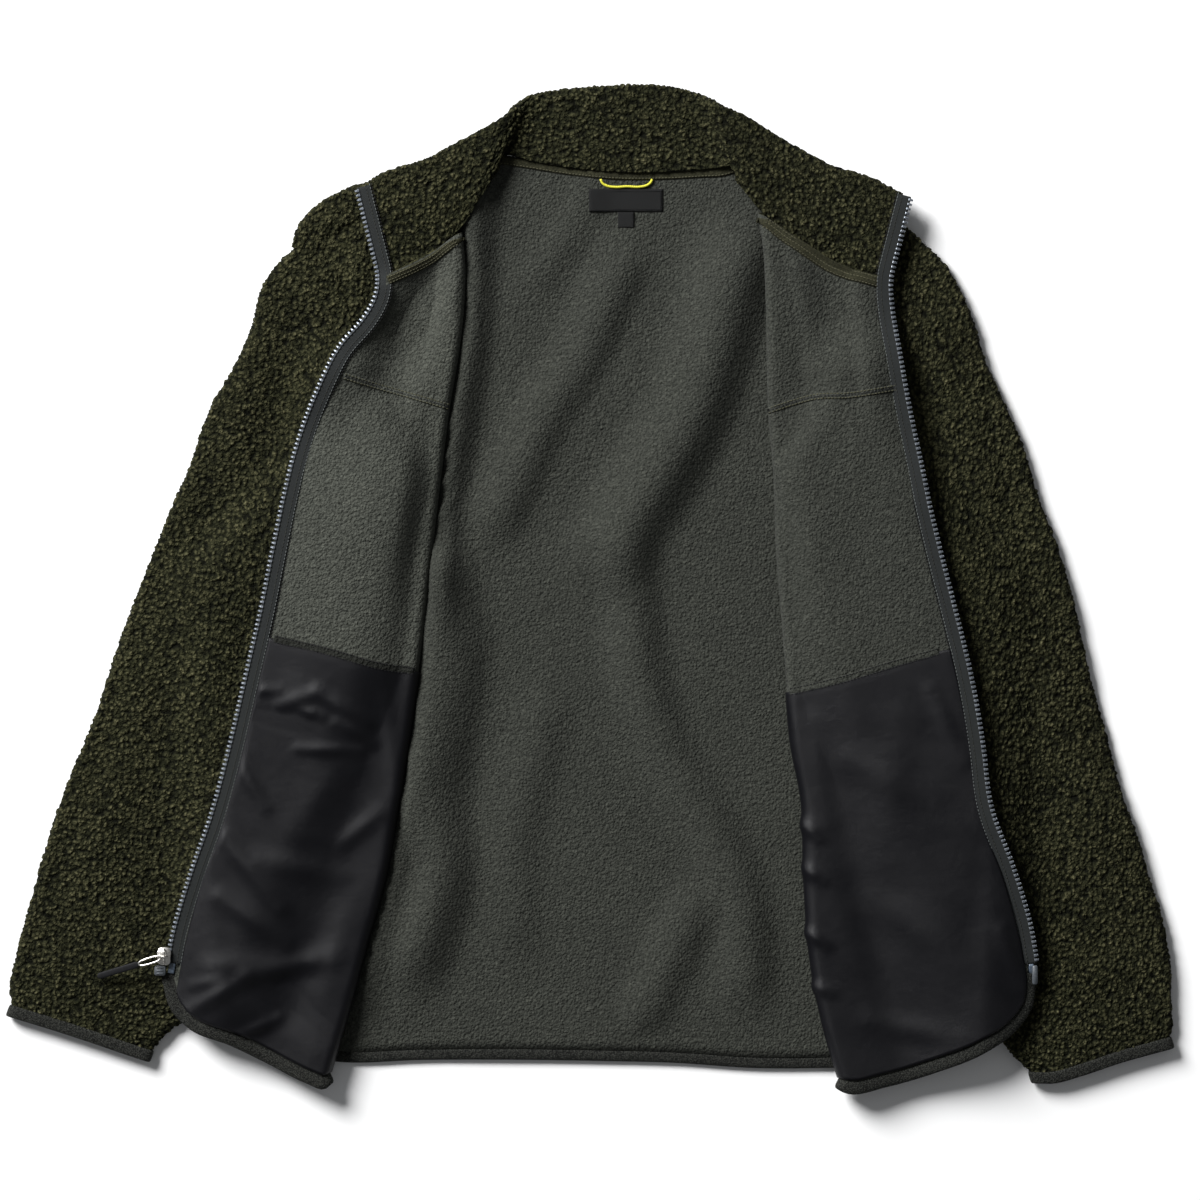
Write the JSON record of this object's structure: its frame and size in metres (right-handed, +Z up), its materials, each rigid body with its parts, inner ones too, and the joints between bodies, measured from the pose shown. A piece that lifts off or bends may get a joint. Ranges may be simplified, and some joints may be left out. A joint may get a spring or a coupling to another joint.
{
  "type": "fleece jacket",
  "caption": "Pile fleece jacket laid on its back with both fronts turned open: stand collar, full-length zip, knit pocket bags inside, bound hem and cuffs.",
  "frame": {"origin": "centre of the bounding box in plan, on the surface the jacket lies on", "axes": "+X across the jacket to the right as seen from above (the wearer's left), +Y up the jacket to the collar, +Z up off the surface"},
  "size_m": [0.9118, 0.7852, 0.0312],
  "materials": {
    "pile": "curly pile outside, smooth brushed inside",
    "knit": "smooth fine knit, slight sheen",
    "binding": "stretch binding",
    "zip_tape": "woven tape",
    "neck_tape": "woven tape",
    "film": "satin film",
    "plastic": "satin",
    "metal": "plated",
    "strap": "satin",
    "label": "woven label, bare",
    "loop": "round cord"
  },
  "bodies": {
    "jacket": {"back": "pile", "collar": "pile", "cuff_binding_left": "binding", "cuff_binding_right": "binding", "front_left": "pile", "front_right": "pile", "hang_loop": "loop", "hem_binding_back": "binding", "hem_binding_left": "binding", "hem_binding_right": "binding", "insertion_pin": "plastic", "neck_label": "label", "neck_tape_back": "neck_tape", "neck_tape_left": "neck_tape", "neck_tape_right": "neck_tape", "pocket_bag_left": "knit", "pocket_bag_right": "knit", "retainer_box": "plastic", "size_tab": "label", "sleeve_left": "pile", "sleeve_right": "pile", "slider": "metal", "zip_film_left": "film", "zip_film_right": "film", "zip_tape_left": "zip_tape", "zip_tape_right": "zip_tape"},
    "pull": {"pull_link": "metal", "pull_strap": "strap"}
  },
  "joints": [
    {"name": "pull_swing", "type": "hinge", "parent": "jacket", "child": "pull", "pos_m": [-0.33131, -0.286, 0.02778], "axis": [0, 1, 0], "range_deg": [0, 150]}
  ]
}
